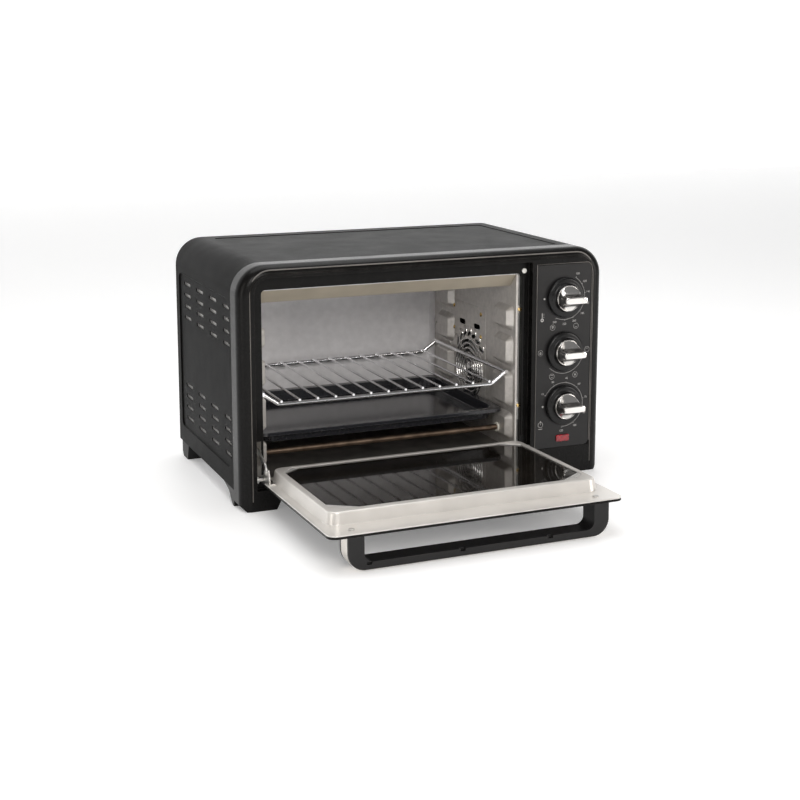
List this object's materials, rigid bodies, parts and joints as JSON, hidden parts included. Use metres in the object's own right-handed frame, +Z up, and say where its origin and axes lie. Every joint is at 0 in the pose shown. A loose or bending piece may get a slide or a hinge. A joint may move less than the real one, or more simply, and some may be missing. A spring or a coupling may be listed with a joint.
{
  "type": "countertop convection oven",
  "caption": "Countertop oven with a drop-down glazed door, dials, chrome wire rack and dark baking tray; door shown open.",
  "frame": {"origin": "on the table, under the middle of the oven's box with its door open", "axes": "+Z up, -Y out of the front, +X to the cook's right"},
  "size_m": [0.475, 0.5138, 0.288],
  "materials": {
    "cabinet_paint": "satin",
    "base_steel": "satin",
    "frame_plastic": "satin",
    "panel_plastic": "satin",
    "zinc_steel": "satin",
    "switch_plastic": "matte",
    "timer_plastic": "matte",
    "shield_zinc": "galvanised",
    "nut_steel": "satin",
    "lamp_red": "gloss",
    "lamp_glass": "gloss",
    "left_wall_steel": "satin",
    "right_wall_steel": "satin",
    "ceiling_steel": "satin",
    "floor_steel": "satin",
    "rear_wall_steel": "satin",
    "guard_steel": "satin",
    "screw_brass": "satin",
    "heater_sheath": "satin",
    "lower_heater_sheath": "satin",
    "ceramic": "glazed ceramic",
    "pan_steel": "satin",
    "motor_steel": "satin",
    "rear_foot_plastic": "matte",
    "gland_rubber": "matte",
    "terminal_plastic": "matte",
    "hinge_steel": "satin",
    "bumper_rubber": "matte",
    "anchor_steel": "satin",
    "spring_steel": "satin",
    "screw_black": "black oxide",
    "door_paint": "satin",
    "door_inner_steel": "satin",
    "inner_glass": "tempered",
    "outer_glass": "tinted",
    "clip_steel": "satin",
    "ear_steel": "satin",
    "handle_plastic": "satin",
    "band_chrome": "polished",
    "handle_screw_steel": "satin",
    "arm_steel": "satin",
    "rack_chrome": "polished",
    "tray_enamel": "enamel",
    "fan_aluminium": "satin",
    "fan_shaft_steel": "satin",
    "dial_shaft_plastic": "matte",
    "skirt_plastic": "satin",
    "grip_chrome": "polished"
  },
  "bodies": {
    "oven": {"outer_cabinet": "cabinet_paint", "back_panel": "cabinet_paint", "back_screws": "screw_black", "base_plate": "base_steel", "front_frame": "frame_plastic", "control_panel": "panel_plastic", "control_bracket": "zinc_steel", "thermostat": "switch_plastic", "function_switch": "switch_plastic", "timer_drive": "timer_plastic", "control_nuts": "nut_steel", "lamp_lens": "lamp_red", "neon_lamp": "lamp_glass", "cavity_left_wall": "left_wall_steel", "cavity_right_wall": "right_wall_steel", "cavity_ceiling": "ceiling_steel", "cavity_floor": "floor_steel", "cavity_rear_wall": "rear_wall_steel", "upper_guard": "guard_steel", "liner_screws": "screw_brass", "upper_heaters": "heater_sheath", "lower_heaters": "lower_heater_sheath", "heater_bushes": "ceramic", "fan_pan": "pan_steel", "fan_motor": "motor_steel", "rear_feet": "rear_foot_plastic", "cord_gland": "gland_rubber", "terminal_block": "terminal_plastic", "hinge_pins": "hinge_steel", "door_bumper": "bumper_rubber", "spring_anchor": "anchor_steel", "door_spring": "spring_steel", "heat_shields": "shield_zinc"},
    "door": {"door_outer_panel": "door_paint", "door_inner_frame": "door_inner_steel", "door_inner_glass": "inner_glass", "door_outer_glass": "outer_glass", "glass_clips": "clip_steel", "door_ears": "ear_steel", "door_handle": "handle_plastic", "handle_band": "band_chrome", "handle_screws": "handle_screw_steel"},
    "left_link": {"left_link_arm": "arm_steel"},
    "rack": {"wire_rack": "rack_chrome"},
    "tray": {"baking_tray": "tray_enamel"},
    "fan": {"fan_wheel": "fan_aluminium", "fan_shaft": "fan_shaft_steel"},
    "timer_dial": {"timer_shaft": "dial_shaft_plastic", "timer_skirt": "skirt_plastic", "timer_grip": "grip_chrome"},
    "function_dial": {"function_shaft": "dial_shaft_plastic", "function_skirt": "skirt_plastic", "function_grip": "grip_chrome"},
    "temperature_dial": {"temperature_shaft": "dial_shaft_plastic", "temperature_skirt": "skirt_plastic", "temperature_grip": "grip_chrome"}
  },
  "joints": [
    {"name": "door_hinge", "type": "hinge", "parent": "oven", "child": "door", "pos_m": [-0.04, -0.02211, 0.037], "axis": [1, 0, 0], "range_deg": [-88.8, 0], "deforming": ["door_spring"]},
    {"name": "left_link_pivot", "type": "hinge", "parent": "door", "child": "left_link", "pos_m": [-0.2125, -0.04231, 0.05123], "axis": [1, 0, 0], "range_deg": [0, 102.2]},
    {"name": "rack_slide", "type": "slide", "parent": "oven", "child": "rack", "axis": [0, -1, 0], "range_m": [0, 0.2]},
    {"name": "tray_slide", "type": "slide", "parent": "oven", "child": "tray", "axis": [0, -1, 0], "range_m": [0, 0.2]},
    {"name": "timer_turn", "type": "hinge", "parent": "oven", "child": "timer_dial", "pos_m": [0.1835, -0.02611, 0.0895], "axis": [0, 1, 0], "range_deg": [0, 270]},
    {"name": "function_turn", "type": "hinge", "parent": "oven", "child": "function_dial", "pos_m": [0.1835, -0.02611, 0.158], "axis": [0, 1, 0], "range_deg": [0, 300]},
    {"name": "temperature_turn", "type": "hinge", "parent": "oven", "child": "temperature_dial", "pos_m": [0.1835, -0.02611, 0.2265], "axis": [0, 1, 0], "range_deg": [0, 300]},
    {"name": "fan_spin", "type": "hinge", "parent": "oven", "child": "fan", "pos_m": [0.131, 0.11989, 0.113], "axis": [1, 0, 0], "continuous": true}
  ],
  "couplings": [
    {"joint": "left_link_pivot", "follows": "door_hinge", "ratio": -1.149}
  ]
}
